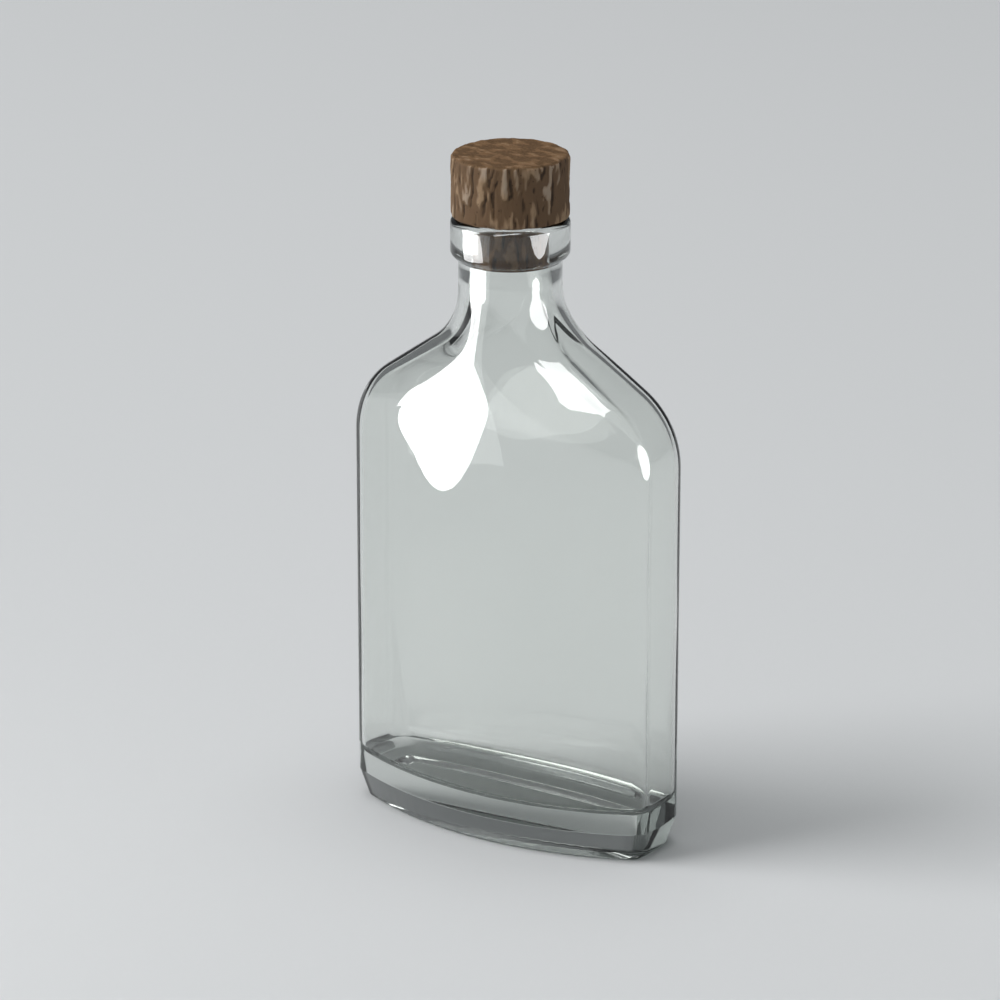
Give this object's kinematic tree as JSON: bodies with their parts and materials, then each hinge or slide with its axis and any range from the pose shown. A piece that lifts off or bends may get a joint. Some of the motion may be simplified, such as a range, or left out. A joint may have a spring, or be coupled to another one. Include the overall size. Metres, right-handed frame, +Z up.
{
  "type": "liquor bottle",
  "caption": "Flat clear glass flask with a full front, flatter back, heavy bevelled base, sloping shoulders, short neck and a cork stopper that lifts out.",
  "frame": {"origin": "centre of the foot, on the surface that the flask stands on", "axes": "+Z up along the neck's axis, +X along the width, -Y the fuller front face and +Y the flatter back face"},
  "size_m": [0.086, 0.0336, 0.1729],
  "materials": {
    "clear_glass": "fire-polished clear glass",
    "cork_head": "matte cork, upright lumpy streaks",
    "cork_shank": "matte cork, smoother"
  },
  "bodies": {
    "flask": {"glass_flask": "clear_glass"},
    "stopper": {"cork_head": "cork_head", "cork_shank": "cork_shank"}
  },
  "joints": [
    {"name": "stopper_lift", "type": "slide", "parent": "flask", "child": "stopper", "axis": [0, 0, 1], "range_m": [0, 0.05]}
  ]
}
